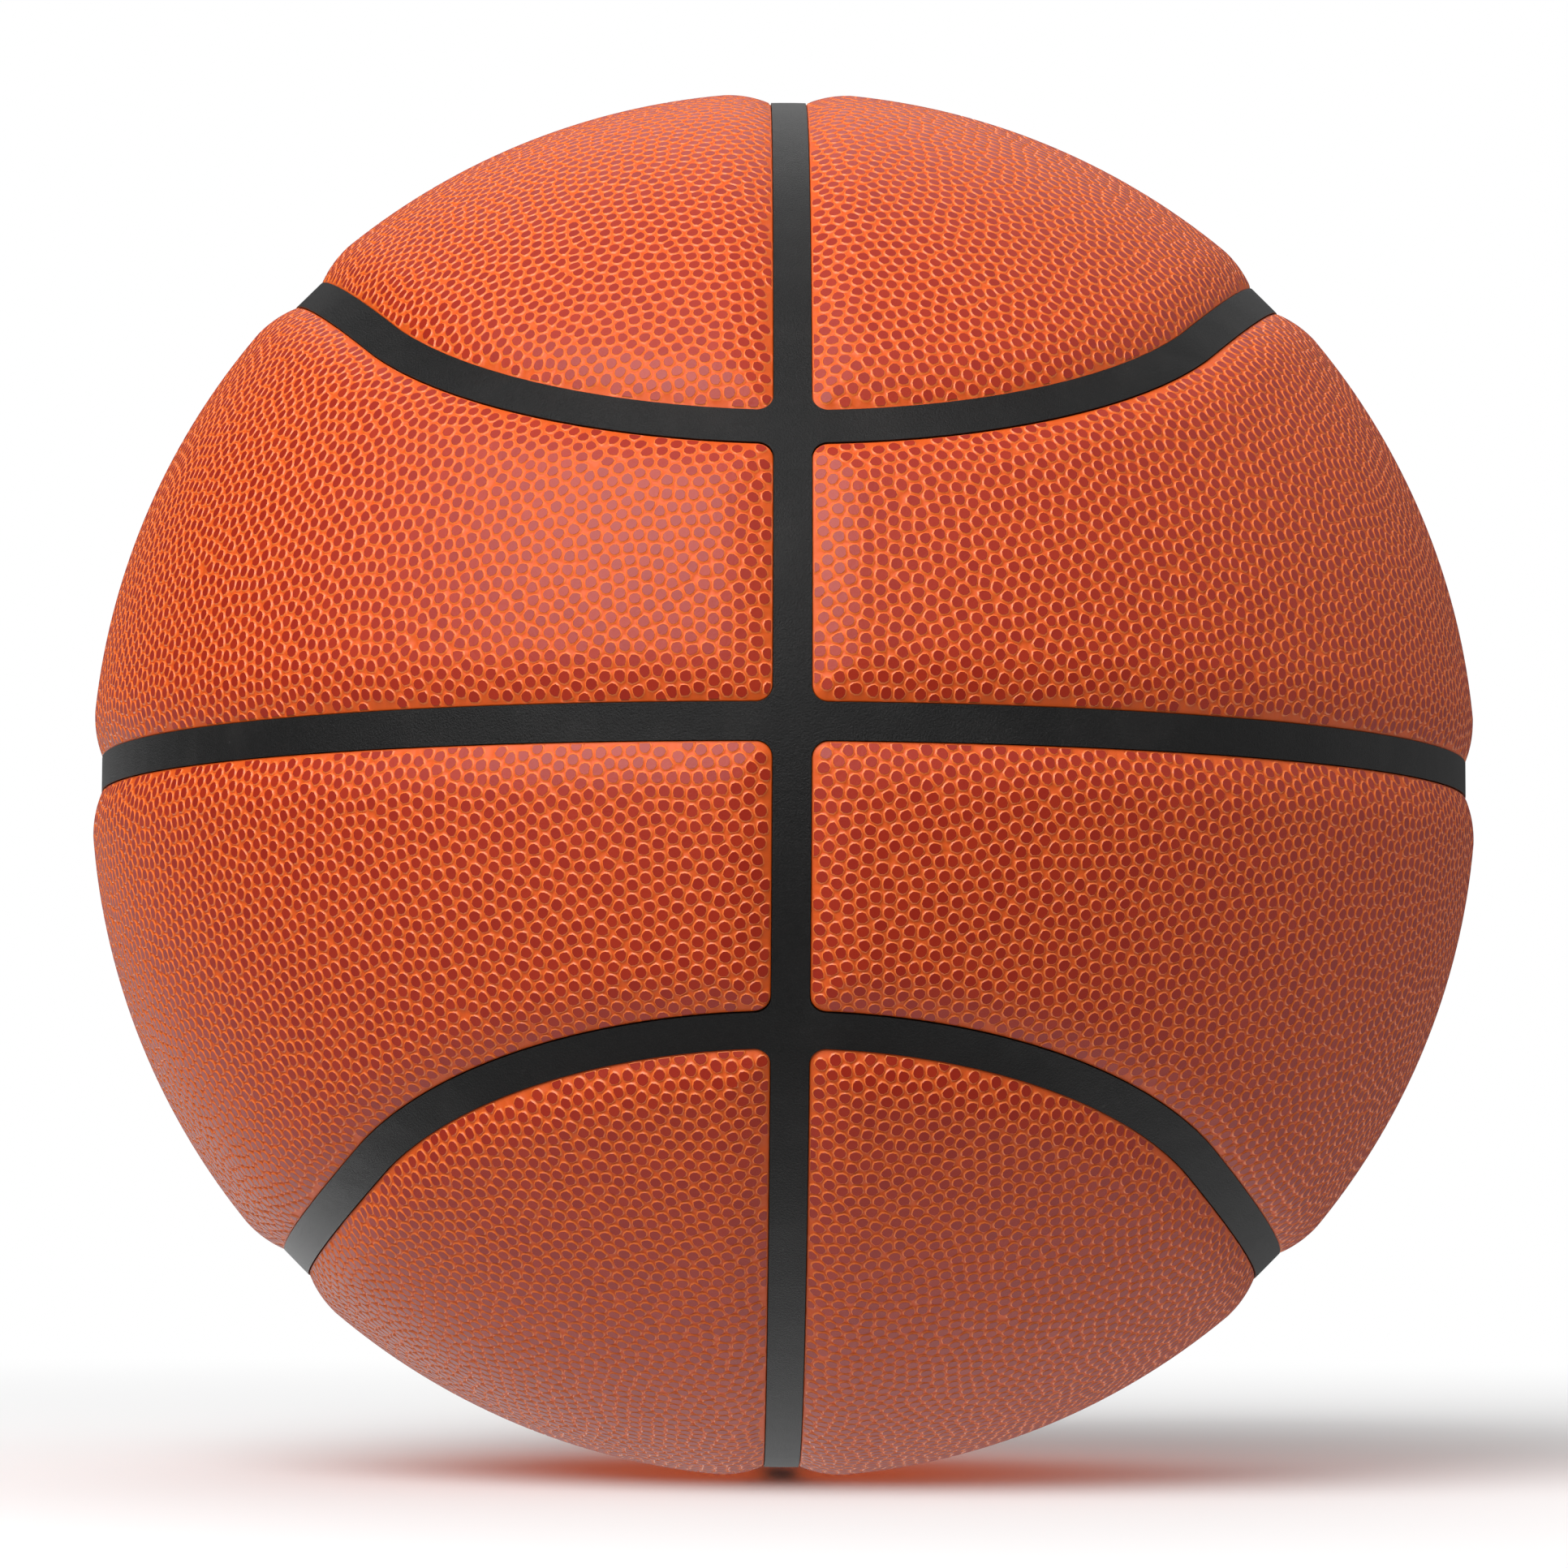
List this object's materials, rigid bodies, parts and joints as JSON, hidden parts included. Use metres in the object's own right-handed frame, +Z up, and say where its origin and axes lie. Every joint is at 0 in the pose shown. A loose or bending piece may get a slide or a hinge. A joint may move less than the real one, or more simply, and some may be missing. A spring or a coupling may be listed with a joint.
{
  "type": "basketball",
  "caption": "Full-size ball with pebbled die-cut panels over a black rubber carcass whose ribs show as recessed seams, and a needle valve.",
  "frame": {"origin": "centre of the ball", "axes": "+Z up through the crossing-free top of the upright seam; the level seam lies in z = 0; the front crossing of the picture is at -Y; the valve is at the back"},
  "size_m": [0.24, 0.2392, 0.24],
  "materials": {
    "cover": "pebbled orange-brown composite leather, matte",
    "foam": "soft closed-cell foam",
    "seam_rubber": "matte black moulded rubber",
    "yarn": "wound nylon yarn set in latex",
    "bladder_rubber": "smooth butyl rubber",
    "valve_rubber": "matte moulded rubber",
    "core_rubber": "soft rubber plug"
  },
  "bodies": {
    "root": {"inner_panel_top_right": "cover", "inner_panel_top_left": "cover", "inner_panel_bottom_right": "cover", "inner_panel_bottom_left": "cover", "outer_panel_top_right": "cover", "outer_panel_top_left": "cover", "outer_panel_bottom_right": "cover", "outer_panel_bottom_left": "cover", "inner_foam_top_right": "foam", "inner_foam_top_left": "foam", "inner_foam_bottom_right": "foam", "inner_foam_bottom_left": "foam", "outer_foam_top_right": "foam", "outer_foam_top_left": "foam", "outer_foam_bottom_right": "foam", "outer_foam_bottom_left": "foam", "carcass": "seam_rubber", "yarn_winding": "yarn", "bladder": "bladder_rubber", "valve_housing": "valve_rubber", "valve_core": "core_rubber"}
  },
  "joints": []
}
